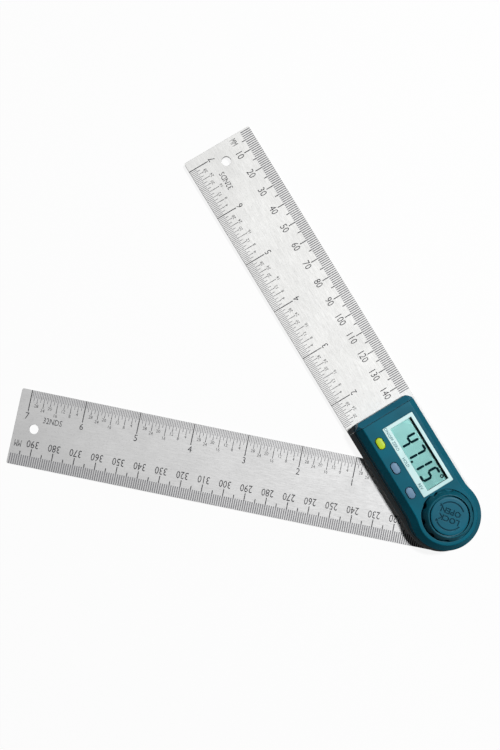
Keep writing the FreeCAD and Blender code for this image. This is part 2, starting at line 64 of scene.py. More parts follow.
# Display
WINDOW_X0, WINDOW_X1, WINDOW_Y0, WINDOW_Y1 = 13.9, 45.9, -9.05, 1.9
PANE_TOP = corners("display_pane")[1].z
BEZEL_TOP = corners("display_bezel")[1].z
PANEL_TOP = corners("display_panel")[1].z


# Selecting and finishing

def deselect_all():
    if bpy.context.mode != "OBJECT":
        bpy.ops.object.mode_set(mode="OBJECT")
    bpy.ops.object.select_all(action="DESELECT")


def pick(*pieces):
    deselect_all()
    for piece in pieces:
        piece.select_set(True)
    bpy.context.view_layer.objects.active = pieces[0]


def settle(piece):
    """Puts the piece's place, turn and size into its mesh."""
    pick(piece)
    bpy.ops.object.transform_apply(location=True, rotation=True, scale=True)


def named(name):
    piece = bpy.context.object
    piece.name = name
    piece.data.name = name
    return piece


def edit(piece, kind="FACE"):
    pick(piece)
    bpy.ops.object.mode_set(mode="EDIT")
    bpy.ops.mesh.select_mode(type=kind)
    bpy.ops.mesh.select_all(action="DESELECT")


def done():
    bpy.ops.object.mode_set(mode="OBJECT")


def select_faces(piece, wanted):
    """Selects the faces whose middle and normal, in millimetres, pass the test."""
    edit(piece, "FACE")
    bpy.ops.object.mode_set(mode="OBJECT")
    for face in piece.data.polygons:
        face.select = bool(wanted(face.center / MM, face.normal))
    bpy.ops.object.mode_set(mode="EDIT")


def is_level(middle, normal):
    """Test for select_faces: top and bottom."""
    return abs(normal.z) > 0.9


def is_top(middle, normal):
    return normal.z > 0.9


def select_edges(piece, wanted):
    """Selects the edges whose two ends, in millimetres, pass the test."""
    edit(piece, "EDGE")
    bpy.ops.object.mode_set(mode="OBJECT")
    points = piece.data.vertices
    for edge in piece.data.edges:
        a, b = (points[i].co / MM for i in edge.vertices)
        edge.select = bool(wanted(a, b))
    bpy.ops.object.mode_set(mode="EDIT")


def finish_with(piece, kind, **settings):
    """Adds one modifier and applies it."""
    pick(piece)
    bpy.ops.object.modifier_add(type=kind)
    modifier = piece.modifiers[-1]
    for key, value in settings.items():
        setattr(modifier, key, value)
    bpy.ops.object.modifier_apply(modifier=modifier.name)


def repeat(piece, count, step):
    finish_with(piece, "ARRAY", count=count, use_relative_offset=False, use_constant_offset=True,
                constant_offset_displace=[part * MM for part in step])


def join(name, pieces):
    pick(*pieces)
    bpy.ops.object.join()
    return named(name)


def copy_of(piece, name):
    pick(piece)
    bpy.ops.object.duplicate(linked=False)
    return named(name)


def cut_away(piece, cutters):
    for cutter in cutters:
        finish_with(piece, "BOOLEAN", operation="DIFFERENCE", solver="EXACT", object=cutter)
        pick(cutter)
        bpy.ops.object.delete()


def close_seams(piece):
    edit(piece, "VERT")
    bpy.ops.mesh.select_all(action="SELECT")
    bpy.ops.mesh.remove_doubles(threshold=1e-7)
    bpy.ops.mesh.normals_make_consistent(inside=False)
    done()


def smooth(piece, angle=30):
    pick(piece)
    bpy.ops.object.shade_smooth_by_angle(angle=math.radians(angle))


def turned_about_z(piece, angle):
    """Turns a settled piece about the pivot axis."""
    pick(piece)
    piece.rotation_euler = (0, 0, angle)
    settle(piece)


def paint(piece, *materials):
    piece.data.materials.clear()
    for material in materials:
        piece.data.materials.append(material)


# Starting shapes

def new_box(name, low, high):
    deselect_all()
    size = [(b - a) * MM for a, b in zip(low, high)]
    middle = [(a + b) / 2 * MM for a, b in zip(low, high)]
    bpy.ops.mesh.primitive_cube_add(size=1, location=middle, scale=size)
    piece = named(name)
    settle(piece)
    return piece


def new_round(name, radius, z0, z1, x=0.0, y=0.0, sides=120):
    deselect_all()
    bpy.ops.mesh.primitive_cylinder_add(vertices=sides, radius=radius * MM, depth=(z1 - z0) * MM,
                                        location=(x * MM, y * MM, (z0 + z1) / 2 * MM))
    piece = named(name)
    settle(piece)
    return piece


def lettering(words, height, width, x, y, z, turn, thickness=MARK_RISE, weight=0.0):
    """Words as a thin solid centred on a place. width is their share of the plain letters' width."""
    deselect_all()
    bpy.ops.object.text_add()
    label = bpy.context.object
    label.data.body = words
    label.data.resolution_u = 2
    label.data.extrude = 0.05
    label.data.offset = weight
    bpy.ops.object.convert(target="MESH")
    label = named("words")
    bpy.ops.object.origin_set(type="ORIGIN_GEOMETRY", center="BOUNDS")
    tall = height * MM / label.dimensions.y
    label.scale = (tall * width, tall, thickness * MM / label.dimensions.z)
    label.rotation_euler = (0, 0, turn)
    label.location = (x * MM, y * MM, (z + thickness / 2) * MM)
    settle(label)
    close_seams(label)
    return label


# Shader helpers

def new_node(tree, kind, settings=None, sockets=None):
    """A node with its settings. A socket is given a value, or the output that feeds it."""
    node = tree.nodes.new("ShaderNode" + kind)
    for key, value in (settings or {}).items():
        setattr(node, key, value)
    for key, value in (sockets or {}).items():
        if isinstance(value, bpy.types.NodeSocket):
            tree.links.new(value, node.inputs[key])
        else:
            node.inputs[key].default_value = value
    return node


def math_node(tree, operation, a, b=0.0):
    return new_node(tree, "Math", {"operation": operation}, {0: a, 1: b}).outputs[0]


def mixed(tree, mask, low, high):
    """One colour where the mask is 0 and another where it is 1."""
    node = new_node(tree, "Mix", {"data_type": "RGBA"}, {0: mask, 6: low, 7: high})
    return node.outputs[2]


def spread(tree, value, low, high, start=0.0, end=1.0):
    node = new_node(tree, "MapRange", None, {"Value": value, "From Min": start, "From Max": end,
                                             "To Min": low, "To Max": high})
    return node.outputs[0]


def object_place(tree):
    return new_node(tree, "TexCoord").outputs["Object"]


def new_group(name, inputs, outputs):
    """A shared effect with named inputs and outputs."""
    group = bpy.data.node_groups.new(name, "ShaderNodeTree")
    for label, value in inputs:
        socket = group.interface.new_socket(name=label, in_out="INPUT", socket_type="NodeSocketFloat")
        socket.default_value = value
    for label, kind in outputs:
        group.interface.new_socket(name=label, in_out="OUTPUT", socket_type=kind)
    return group, group.nodes.new("NodeGroupInput").outputs, group.nodes.new("NodeGroupOutput").inputs


def make_moulded_grain():
    """Fine spark-eroded grain of moulded plastic, with slow shade changes."""
    group, given, wanted = new_group("moulded_grain", [("Grain Size", 0.35)],
                                     [("Height", "NodeSocketFloat"), ("Shade", "NodeSocketFloat")])
    place = object_place(group)
    scale = math_node(group, "DIVIDE", 1000.0, given["Grain Size"])
    fine = new_node(group, "TexNoise", None, {"Vector": place, "Scale": scale, "Detail": 4.0,
                                              "Roughness": 0.6})
    slow = new_node(group, "TexNoise", None, {"Vector": place, "Scale": 90.0, "Detail": 3.0})
    group.links.new(fine.outputs["Fac"], wanted["Height"])
    group.links.new(slow.outputs["Fac"], wanted["Shade"])
    return group


def make_worn_edge():
    """Mask along outer edges, broken up as handling leaves it, and the softened normal."""
    group, given, wanted = new_group("worn_edge", [("Width", 0.3), ("Breakup", 0.5)],
                                     [("Mask", "NodeSocketFloat"), ("Normal", "NodeSocketVector")])
    radius = math_node(group, "MULTIPLY", given["Width"], MM)
    soft = new_node(group, "Bevel", {"samples": 6}, {"Radius": radius}).outputs[0]
    flat = new_node(group, "NewGeometry").outputs["True Normal"]
    same = new_node(group, "VectorMath", {"operation": "DOT_PRODUCT"}, {0: soft, 1: flat}).outputs["Value"]
    edge = spread(group, same, 1.0, 0.0, 0.80, 0.995)
    noise = new_node(group, "TexNoise", None, {"Vector": object_place(group), "Scale": 420.0, "Detail": 4.0})
    broken = spread(group, noise.outputs["Fac"], 0.0, 1.0, 0.42, 0.62)
    kept = new_node(group, "Math", {"operation": "MULTIPLY_ADD"}, {0: broken, 1: given["Breakup"], 2: 0.5})
    mask = math_node(group, "MULTIPLY", edge, kept.outputs[0])
    group.links.new(mask, wanted["Mask"])
    group.links.new(soft, wanted["Normal"])
    return group


def make_drawn_grain():
    """Fine lines along a rolled or brushed sheet, turned to its length, with cloudy handling marks."""
    group, given, wanted = new_group("drawn_grain", [("Turn", 0.0), ("Line Size", 0.12)],
                                     [("Lines", "NodeSocketFloat"), ("Clouds", "NodeSocketFloat"),
                                      ("Specks", "NodeSocketFloat")])
    along = new_node(group, "VectorRotate", {"rotation_type": "Z_AXIS"},
                     {"Vector": object_place(group), "Angle": given["Turn"]}).outputs[0]
    stretched = new_node(group, "Mapping", None, {"Vector": along, "Scale": (0.03, 1.0, 1.0)}).outputs[0]
    scale = math_node(group, "DIVIDE", 1000.0, given["Line Size"])
    lines = new_node(group, "TexNoise", None, {"Vector": stretched, "Scale": scale, "Detail": 3.0,
                                               "Roughness": 0.7})
    clouds = new_node(group, "TexNoise", None, {"Vector": along, "Scale": 55.0, "Detail": 5.0,
                                                "Roughness": 0.6})
    specks = new_node(group, "TexNoise", None, {"Vector": along, "Scale": 1400.0, "Detail": 3.0})
    group.links.new(lines.outputs["Fac"], wanted["Lines"])
    group.links.new(clouds.outputs["Fac"], wanted["Clouds"])
    group.links.new(specks.outputs["Fac"], wanted["Specks"])
    return group


moulded_grain = make_moulded_grain()
worn_edge = make_worn_edge()
drawn_grain = make_drawn_grain()


def use(tree, group, **values):
    node = tree.nodes.new("ShaderNodeGroup")
    node.node_tree = group
    for key, value in values.items():
        node.inputs[key.replace("_", " ").title()].default_value = value
    return node.outputs


def new_material(name, **constants):
    """A material with one Principled shader. Constants are set on its own sockets."""
    material = bpy.data.materials.new(name)
    material.use_nodes = True
    tree = material.node_tree
    shader = tree.nodes["Principled BSDF"]
    for key, value in constants.items():
        shader.inputs[key.replace("_", " ").title().replace("Ior", "IOR")].default_value = value
    return material, tree, shader.inputs


def shade_of(colour, share):
    return tuple(min(1.0, part * share) for part in colour[:3]) + (1.0,)


def srgb(red, green, blue):
    """A shader colour from the eight-bit values of a paint swatch."""
    def linear(part):
        part /= 255.0
        return part / 12.92 if part <= 0.04045 else ((part + 0.055) / 1.055) ** 2.4
    return (linear(red), linear(green), linear(blue), 1.0)


# Finishes

RUBBED_GREY, RUBBED_SHARE = 0.55, 0.28     # rubbed plastic goes this far towards this grey


def moulded_plastic(name, colour, roughness, grain=0.35, depth=0.004, wear=0.5, edge=0.3, spec=0.5):
    """Moulded plastic: fine grain, slow shade changes, edges rubbed paler and smoother."""
    material, tree, shader = new_material(name, specular_ior_level=spec)
    moulding = use(tree, moulded_grain, grain_size=grain)
    edges = use(tree, worn_edge, width=edge, breakup=0.8)
    worn = math_node(tree, "MULTIPLY", edges["Mask"], wear)
    tone = mixed(tree, spread(tree, moulding["Shade"], 0.0, 1.0, 0.3, 0.7),
                 shade_of(colour, 0.86), shade_of(colour, 1.14))
    rubbed = tuple(part + (RUBBED_GREY - part) * RUBBED_SHARE for part in colour[:3]) + (1.0,)
    tree.links.new(mixed(tree, worn, tone, rubbed), shader["Base Color"])
    rough = spread(tree, moulding["Shade"], roughness + 0.06, roughness - 0.06, 0.3, 0.7)
    tree.links.new(math_node(tree, "SUBTRACT", rough, math_node(tree, "MULTIPLY", worn, 0.12)),
                   shader["Roughness"])
    bump = new_node(tree, "Bump", None, {"Height": moulding["Height"], "Normal": edges["Normal"],
                                         "Distance": depth * MM, "Strength": 0.8})
    tree.links.new(bump.outputs[0], shader["Normal"])
    return material


def rule_steel(name, colour, turn, roughness, metal=1.0):
    """Rolled stainless sheet: drawn lines along the rule, cloudy satin, specks, bright rubbed edges."""
    material, tree, shader = new_material(name, metallic=metal)
    grain = use(tree, drawn_grain, turn=turn)
    edges = use(tree, worn_edge, width=0.25, breakup=0.6)
    cloudy = mixed(tree, spread(tree, grain["Clouds"], 0.0, 1.0, 0.3, 0.7),
                   shade_of(colour, 0.95), shade_of(colour, 1.04))
    lined = mixed(tree, spread(tree, grain["Lines"], 0.0, 0.5, 0.35, 0.7), cloudy, shade_of(colour, 0.86))
    specks = spread(tree, grain["Specks"], 0.0, 0.35, 0.55, 0.75)
    speckled = mixed(tree, specks, lined, shade_of(colour, 0.72))
    worn = mixed(tree, math_node(tree, "MULTIPLY", edges["Mask"], 0.5), speckled, shade_of(colour, 1.15))
    tree.links.new(worn, shader["Base Color"])
    tree.links.new(spread(tree, grain["Lines"], roughness - 0.05, roughness + 0.07, 0.3, 0.7),
                   shader["Roughness"])
    bump = new_node(tree, "Bump", None, {"Height": grain["Lines"], "Normal": edges["Normal"],
                                         "Distance": 0.002 * MM, "Strength": 0.6})
    tree.links.new(bump.outputs[0], shader["Normal"])
    return material


def turned_metal(name, colour, roughness, x=0.0, y=0.0, ring=0.12, metal=1.0):
    """Metal with the fine rings that a lathe or a press leaves about an upright axis."""
    material, tree, shader = new_material(name, metallic=metal)
    centred = new_node(tree, "Mapping", None, {"Vector": object_place(tree),
                                               "Location": (-x * MM, -y * MM, 0.0)}).outputs[0]
    flat = new_node(tree, "VectorMath", {"operation": "MULTIPLY"}, {0: centred, 1: (1.0, 1.0, 0.0)})
    out = new_node(tree, "VectorMath", {"operation": "LENGTH"}, {0: flat.outputs[0]}).outputs["Value"]
    lines = new_node(tree, "TexNoise", {"noise_dimensions": "1D"}, {"W": out, "Scale": 1000.0 / ring,
                                                                    "Detail": 3.0}).outputs["Fac"]
    edges = use(tree, worn_edge, width=0.15, breakup=0.5)
    rings = spread(tree, lines, 0.0, 1.0, 0.3, 0.7)
    ringed = mixed(tree, rings, shade_of(colour, 0.82), shade_of(colour, 1.06))
    worn = math_node(tree, "MULTIPLY", edges["Mask"], 0.6)
    tree.links.new(mixed(tree, worn, ringed, shade_of(colour, 1.2)), shader["Base Color"])
    tree.links.new(spread(tree, lines, roughness - 0.05, roughness + 0.08, 0.3, 0.7), shader["Roughness"])
    bump = new_node(tree, "Bump", None, {"Height": lines, "Normal": edges["Normal"],
                                         "Distance": 0.004 * MM, "Strength": 0.5})
    tree.links.new(bump.outputs[0], shader["Normal"])
    return material


def soft_rubber(name, colour, roughness=0.7):
    """Silicone or elastomer: matt, with a faint sheen and dust in the texture."""
    material, tree, shader = new_material(name, sheen_weight=0.25, sheen_roughness=0.4)
    moulding = use(tree, moulded_grain, grain_size=0.2)
    dusty = mixed(tree, spread(tree, moulding["Height"], 0.0, 0.35, 0.5, 0.8), colour, shade_of(colour, 1.3))
    tree.links.new(dusty, shader["Base Color"])
    tree.links.new(spread(tree, moulding["Shade"], roughness - 0.08, roughness + 0.08), shader["Roughness"])
    bump = new_node(tree, "Bump", None, {"Height": moulding["Height"], "Distance": 0.006 * MM})
    tree.links.new(bump.outputs[0], shader["Normal"])
    return material


def printed_ink(name, colour, roughness=0.5, pale=None, spec=0.5):
    """Ink or etching fill: slightly uneven cover."""
    material, tree, shader = new_material(name, specular_ior_level=spec)
    cover = new_node(tree, "TexNoise", None, {"Vector": object_place(tree), "Scale": 2600.0, "Detail": 4.0})
    thin = pale or shade_of(colour, 1.8)
    tree.links.new(mixed(tree, spread(tree, cover.outputs["Fac"], 0.0, 1.0, 0.5, 0.8), colour, thin),
                   shader["Base Color"])
    rough = spread(tree, cover.outputs["Fac"], roughness - 0.08, roughness + 0.12)
    tree.links.new(rough, shader["Roughness"])
    bump = new_node(tree, "Bump", None, {"Height": cover.outputs["Fac"], "Distance": 0.003 * MM})
    tree.links.new(bump.outputs[0], shader["Normal"])
    return material


def display_glass_back():
    """Reflective liquid crystal: pale green, finely speckled, with painted shade that makes it a shade darker
    towards the knob.
    """
    material, tree, shader = new_material("display_mint", specular_ior_level=0.35)
    place = object_place(tree)
    x = new_node(tree, "SeparateXYZ", None, {0: place}).outputs[0]
    # Painted shade: the base colour darkens towards the knob end of the window.
    shade_towards_knob = spread(tree, x, 0.0, 1.0, WINDOW_X0 * MM, WINDOW_X1 * MM)
    base = mixed(tree, shade_towards_knob, srgb(122, 182, 180), srgb(150, 212, 210))
    speck = new_node(tree, "TexNoise", None, {"Vector": place, "Scale": 3800.0, "Detail": 3.0}).outputs["Fac"]
    cloud = new_node(tree, "TexNoise", None, {"Vector": place, "Scale": 140.0, "Detail": 2.0}).outputs["Fac"]
    clouded = mixed(tree, spread(tree, cloud, 0.0, 0.5, 0.4, 0.7), base, srgb(134, 196, 193))
    tree.links.new(mixed(tree, spread(tree, speck, 0.0, 0.4, 0.45, 0.7), clouded, srgb(120, 184, 182)),
                   shader["Base Color"])
    tree.links.new(spread(tree, speck, 0.32, 0.45), shader["Roughness"])
    bump = new_node(tree, "Bump", None, {"Height": speck, "Distance": 0.002 * MM})
    tree.links.new(bump.outputs[0], shader["Normal"])
    return material


def clear_acrylic():
    """Clear pane with faint wipe marks. Lamps shine straight through it."""
    material, tree, shader = new_material("clear_acrylic", transmission_weight=1.0, ior=1.49)
    wipe = new_node(tree, "TexNoise", None, {"Vector": object_place(tree), "Scale": 260.0, "Detail": 4.0})
    tree.links.new(mixed(tree, wipe.outputs["Fac"], (0.94, 0.98, 0.97, 1.0), (0.98, 1.0, 1.0, 1.0)),
                   shader["Base Color"])
    tree.links.new(spread(tree, wipe.outputs["Fac"], 0.0, 0.04, 0.4, 0.8), shader["Roughness"])
    path = new_node(tree, "LightPath").outputs
    through = math_node(tree, "MAXIMUM", path["Is Shadow Ray"], path["Is Diffuse Ray"])
    clear = new_node(tree, "BsdfTransparent", None, {"Color": (0.96, 0.99, 0.98, 1.0)})
    blend = new_node(tree, "MixShader", None, {0: through, 1: tree.nodes["Principled BSDF"].outputs[0],
                                               2: clear.outputs[0]})
    tree.links.new(blend.outputs[0], tree.nodes["Material Output"].inputs["Surface"])
    return material


def circuit_laminate():
    """Green solder resist over copper tracks, with tinned pads here and there."""
    material, tree, shader = new_material("circuit_laminate")
    place = object_place(tree)
    tracks = new_node(tree, "TexBrick", {"offset": 0.37},
                      {"Vector": place, "Scale": 320.0, "Mortar Size": 0.035, "Brick Width": 1.3,
                       "Row Height": 0.42}).outputs["Fac"]
    wander = new_node(tree, "TexNoise", None, {"Vector": place, "Scale": 150.0, "Detail": 1.0}).outputs["Fac"]
    routed = math_node(tree, "MULTIPLY", tracks, spread(tree, wander, 0.0, 1.0, 0.45, 0.5))
    dots = new_node(tree, "TexVoronoi", None, {"Vector": place, "Scale": 420.0}).outputs["Distance"]
    pads = spread(tree, dots, 1.0, 0.0, 0.12, 0.16)
    green = mixed(tree, routed, srgb(22, 92, 52), srgb(48, 132, 78))
    tree.links.new(mixed(tree, pads, green, srgb(205, 205, 196)), shader["Base Color"])
    tree.links.new(math_node(tree, "MULTIPLY", pads, 0.9), shader["Metallic"])
    tree.links.new(spread(tree, wander, 0.28, 0.4), shader["Roughness"])
    height = math_node(tree, "ADD", routed, pads)
    bump = new_node(tree, "Bump", None, {"Height": height, "Distance": 0.02 * MM})
    tree.links.new(bump.outputs[0], shader["Normal"])
    return material


def layered_elastomer():
    """Thin dark and pale layers that carry the display's contacts."""
    material, tree, shader = new_material("layered_elastomer")
    place = object_place(tree)
    layers = new_node(tree, "TexWave", {"bands_direction": "X"},
                      {"Vector": place, "Scale": 1600.0, "Distortion": 0.4}).outputs["Fac"]
    tree.links.new(mixed(tree, layers, srgb(60, 50, 55), srgb(214, 130, 150)), shader["Base Color"])
    tree.links.new(spread(tree, layers, 0.55, 0.75), shader["Roughness"])
    bump = new_node(tree, "Bump", None, {"Height": layers, "Distance": 0.01 * MM})
    tree.links.new(bump.outputs[0], shader["Normal"])
    return material


def fired_ceramic():
    """Capacitor body with a tinned cap at each end of its length."""
    material, tree, shader = new_material("fired_ceramic")
    low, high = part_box("capacitors")
    bare_share = 0.6               # of the length, between the two tinned caps
    place = object_place(tree)
    x = new_node(tree, "SeparateXYZ", None, {0: place}).outputs[0]
    middle = (low.x + high.x) / 2
    off = math_node(tree, "ABSOLUTE", math_node(tree, "SUBTRACT", x, middle))
    ends = math_node(tree, "GREATER_THAN", off, (high.x - low.x) / 2 * bare_share)
    grit = new_node(tree, "TexNoise", None, {"Vector": place, "Scale": 3000.0, "Detail": 4.0}).outputs["Fac"]
    body = mixed(tree, grit, srgb(150, 118, 84), srgb(182, 148, 108))
    tree.links.new(mixed(tree, ends, body, srgb(206, 206, 202)), shader["Base Color"])
    tree.links.new(ends, shader["Metallic"])
    tree.links.new(spread(tree, grit, 0.35, 0.55), shader["Roughness"])
    bump = new_node(tree, "Bump", None, {"Height": grit, "Distance": 0.006 * MM})
    tree.links.new(bump.outputs[0], shader["Normal"])
    return material


TEAL = srgb(9, 97, 117)
steel_upper = rule_steel("steel_upper", srgb(247, 247, 246), 0.0, 0.78)
steel_lower = rule_steel("steel_lower", srgb(233, 233, 233), -OPENING, 0.72)
etched_black = printed_ink("etched_black", srgb(56, 56, 60), 0.55, srgb(104, 104, 108), 0.3)
etched_grey = printed_ink("etched_grey", srgb(132, 132, 136), 0.55, srgb(158, 158, 162), 0.3)
teal_housing = moulded_plastic("teal_housing", TEAL, 0.38, spec=0.075)
teal_drawer = moulded_plastic("teal_drawer", srgb(38, 106, 128), 0.38, spec=0.075)
teal_knob = moulded_plastic("teal_knob", srgb(14, 94, 112), 0.35, edge=0.4, spec=0.12)
teal_cap = moulded_plastic("teal_cap", srgb(20, 100, 122), 0.42, wear=0.35, spec=0.12)
# Darker teal for the floor of the cap's cuts: painted shade.
teal_painted_shade = moulded_plastic("teal_painted_shade", srgb(12, 66, 84), 0.6, wear=0.0, spec=0.1)
white_bezel = moulded_plastic("white_bezel", srgb(211, 252, 252), 0.3, grain=0.8, depth=0.001, wear=0.1)
grey_print = printed_ink("grey_print", srgb(64, 112, 126), 0.5, srgb(84, 130, 142), 0.2)
display_mint = display_glass_back()
display_ink = printed_ink("display_ink", srgb(2, 34, 42), 0.6, srgb(4, 40, 48), 0.0)
# Near-black material for the window lining: painted shade.
shade_lining = moulded_plastic("shade_lining", srgb(22, 34, 40), 0.55, wear=0.0)
acrylic = clear_acrylic()
lime_key = moulded_plastic("lime_key", srgb(188, 215, 38), 0.4, grain=0.25, wear=0.3, spec=0.25)
grey_key = moulded_plastic("grey_key", srgb(112, 146, 176), 0.42, grain=0.25, wear=0.3, spec=0.25)
pale_rubber = soft_rubber("pale_rubber", srgb(198, 198, 194))
zebra_rubber = layered_elastomer()
ivory_plastic = moulded_plastic("ivory_plastic", srgb(222, 222, 212), 0.5)
low_friction = moulded_plastic("low_friction", srgb(228, 228, 222), 0.42, grain=0.5)
black_acetal = moulded_plastic("black_acetal", srgb(38, 38, 41), 0.38, wear=0.4)
circuit_green = circuit_laminate()
epoxy_black = moulded_plastic("epoxy_black", srgb(16, 16, 17), 0.18, grain=1.2, depth=0.01, wear=0.0)
ceramic = fired_ceramic()
crystal_can = turned_metal("crystal_can", srgb(196, 197, 200), 0.22)
cell_middle = sum(corners("coin_cell"), Vector()) / 2
cell_steel = turned_metal("cell_steel", srgb(206, 207, 208), 0.45, cell_middle.x, cell_middle.y, ring=0.3,
                          metal=0.6)
spring_bronze = rule_steel("spring_bronze", srgb(208, 170, 104), 0.0, 0.3)
turned_steel = turned_metal("turned_steel", srgb(186, 188, 191), 0.3)
blued_spring = turned_metal("blued_spring", srgb(118, 120, 126), 0.34)
turned_brass = turned_metal("turned_brass", srgb(212, 176, 98), 0.28)
plated_screw = turned_metal("plated_screw", srgb(192, 193, 196), 0.25)

node_finishes = {
    "display_blade": steel_upper, "moving_blade": steel_lower, "housing_shell": teal_housing,
    "battery_drawer": teal_drawer, "display_bezel": white_bezel, "display_pane": acrylic,
    "display_panel": display_mint, "display_holder": ivory_plastic, "display_connectors": zebra_rubber,
    "keypad": pale_rubber, "main_board": circuit_green, "controller_chip": epoxy_black,
    "quartz_crystal": crystal_can, "capacitors": ceramic, "coin_cell": cell_steel,
    "contact_side": spring_bronze, "contact_top": spring_bronze, "pivot_shaft": turned_steel,
    "blade_spacer": low_friction, "pivot_bush": black_acetal, "disc_spring": blued_spring,
    "retaining_clip": blued_spring, "rotor_hub": black_acetal, "encoder_rotor": circuit_green,
    "friction_washer": low_friction, "knob_insert": turned_brass, "knob_stop_screw": plated_screw,
    "housing_screws": plated_screw, "board_screws": plated_screw, "lock_knob": teal_knob,
    "knob_cap": teal_cap, "button_on_off": lime_key, "button_hold": grey_key, "button_reverse": grey_key,
}
for node, finish in node_finishes.items():
    paint(nodes[node], finish)


# Scales on the rules

TICK_WIDTH, INCH_TICK_WIDTH, LONG_TICK_WIDTH = 0.50, 0.27, 0.42
MM_TICK, FIVE_TICK, TEN_TICK = 5.0, 6.6, 8.3
# Pitch and first place of a row, where its ticks start and end, their width and ink
MM_ROWS = ((1.0, 0.0, 0.0, MM_TICK, TICK_WIDTH, etched_grey),
           (10.0, 5.0, MM_TICK, FIVE_TICK, LONG_TICK_WIDTH, etched_black),
           (10.0, 0.0, MM_TICK, TEN_TICK, LONG_TICK_WIDTH, etched_black))
INCH = 25.4
INCH_ZERO = 17.5
INCH_COUNT = 7
INCH_TICK = 10.0
FINE_PARTS = 8                 # ticks finer than eighths are grey
# Parts of an inch, and how far from the edge their ticks start and end
INCH_PARTS = ((32, 0.0, 3.5), (16, 3.5, 5.0), (8, 5.0, 6.0), (4, 6.0, 7.5), (2, 7.5, 8.6))
# Thirty-seconds that have a label, and how far the label is from the edge
SMALL_LABELS = ((4, 6.9), (8, 8.4), (12, 6.9), (16, 9.6), (20, 6.9), (24, 8.4), (28, 6.9))
LABEL_ROOM = 1.2               # a small label starts this far past the housing
# Height of each kind of lettering, and its share of the plain letters' width
SMALL_LABEL_SIZE = (1.45, 0.95)
MM_NUMBER_SIZE, MM_WORD_SIZE = (3.4, 0.80), (3.0, 0.50)
INCH_NUMBER_SIZE, INCH_WORD_SIZE = (3.0, 0.9), (2.7, 0.78)
MM_NUMBER_ROW, MM_WORD_ROW, INCH_NUMBER_ROW, INCH_WORD_ROW = 10.5, 9.9, 12.0, 12.6
MM_WORD_BACK, INCH_WORD_BACK = 3.2, 16.8       # from the rule's end to the middle of the words


def row_of_ticks(first, count, pitch, start, end, edge, top, width, ink):
    """Marks across the rule, from start to end in from one long edge. edge is its side, 1 or -1."""
    y0, y1 = sorted((edge * (RULE_HALF - start), edge * (RULE_HALF - end)))
    piece = new_box("ticks", (first - width / 2, y0, top), (first + width / 2, y1, top + MARK_RISE))
    repeat(piece, count, (pitch, 0, 0))
    paint(piece, ink)
    return piece


def first_past(near, pitch, zero):
    """Number of a scale's first mark that lies past a place on the rule."""
    return math.floor((near - zero) / pitch) + 1


def millimetre_ticks(edge, top, near):
    """Every millimetre, longer at fives and tens. The rule's end has no mark."""
    rows = []
    for pitch, zero, start, end, width, ink in MM_ROWS:
        first = zero + first_past(near, pitch, zero) * pitch
        count = math.ceil((RULE_REACH - first) / pitch)
        rows.append(row_of_ticks(first, count, pitch, start, end, edge, top, width, ink))
    return rows


def inch_ticks(edge, top, near):
    """Thirty-seconds to whole inches, up to the seventh."""
    rows = []
    for part, start, end in INCH_PARTS:
        pitch = INCH / part
        first = first_past(near, pitch, INCH_ZERO)
        count = INCH_COUNT * part - first + 1
        ink = etched_grey if part > FINE_PARTS else etched_black
        rows.append(row_of_ticks(INCH_ZERO + first * pitch, count, pitch, start, end, edge, top,
                                 INCH_TICK_WIDTH, ink))
    inch = first_past(near, INCH, INCH_ZERO)
    rows.append(row_of_ticks(INCH_ZERO + inch * INCH, INCH_COUNT - inch + 1, INCH, 0.0, INCH_TICK, edge,
                             top + HAIR, LONG_TICK_WIDTH, etched_black))
    return rows


def inch_labels(edge, top, near, turn):
    """The small thirty-second labels, each repeated inch by inch, the inch numbers and the word."""
    pieces = []
    for part, row in SMALL_LABELS:
        place = INCH_ZERO + part * INCH / 32
        skipped = max(0, math.ceil((near + LABEL_ROOM - place) / INCH))
        label = lettering(str(part), *SMALL_LABEL_SIZE, place + skipped * INCH, edge * (RULE_HALF - row),
                          top, turn)
        repeat(label, INCH_COUNT - skipped, (INCH, 0, 0))
        pieces.append(label)
    number_y, word_y = edge * (RULE_HALF - INCH_NUMBER_ROW), edge * (RULE_HALF - INCH_WORD_ROW)
    for inch in range(first_past(near, INCH, INCH_ZERO), INCH_COUNT + 1):
        pieces.append(lettering(str(inch), *INCH_NUMBER_SIZE, INCH_ZERO + inch * INCH, number_y, top, turn))
    pieces.append(lettering("32NDS", *INCH_WORD_SIZE, RULE_REACH - INCH_WORD_BACK, word_y, top, turn))
    return pieces


def millimetre_labels(edge, top, values, turn):
    """Numbers at each ten and the word. values pairs a number with its place along the rule."""
    number_y, word_y = edge * (RULE_HALF - MM_NUMBER_ROW), edge * (RULE_HALF - MM_WORD_ROW)
    pieces = [lettering(str(number), *MM_NUMBER_SIZE, x, number_y, top, turn) for number, x in values]
    pieces.append(lettering("MM", *MM_WORD_SIZE, RULE_REACH - MM_WORD_BACK, word_y, top, turn))
    return pieces


def rule_marks(rule, edge, top, mm_near, inch_near, values, mm_turn, inch_turn):
    """Both scales of one rule, as ticks and numbers. Each scale starts past its near place."""
    mm_marks = join(rule + "_mm_ticks", millimetre_ticks(edge, top, mm_near))
    inch_marks = join(rule + "_inch_ticks", inch_ticks(-edge, top, inch_near))
    mm_numbers = join(rule + "_mm_numbers", millimetre_labels(edge, top, values, mm_turn))
    paint(mm_numbers, etched_black)
    inch_numbers = join(rule + "_inch_numbers", inch_labels(-edge, top, inch_near, inch_turn))
    paint(inch_numbers, etched_black)
    return [mm_marks, inch_marks, mm_numbers, inch_numbers]


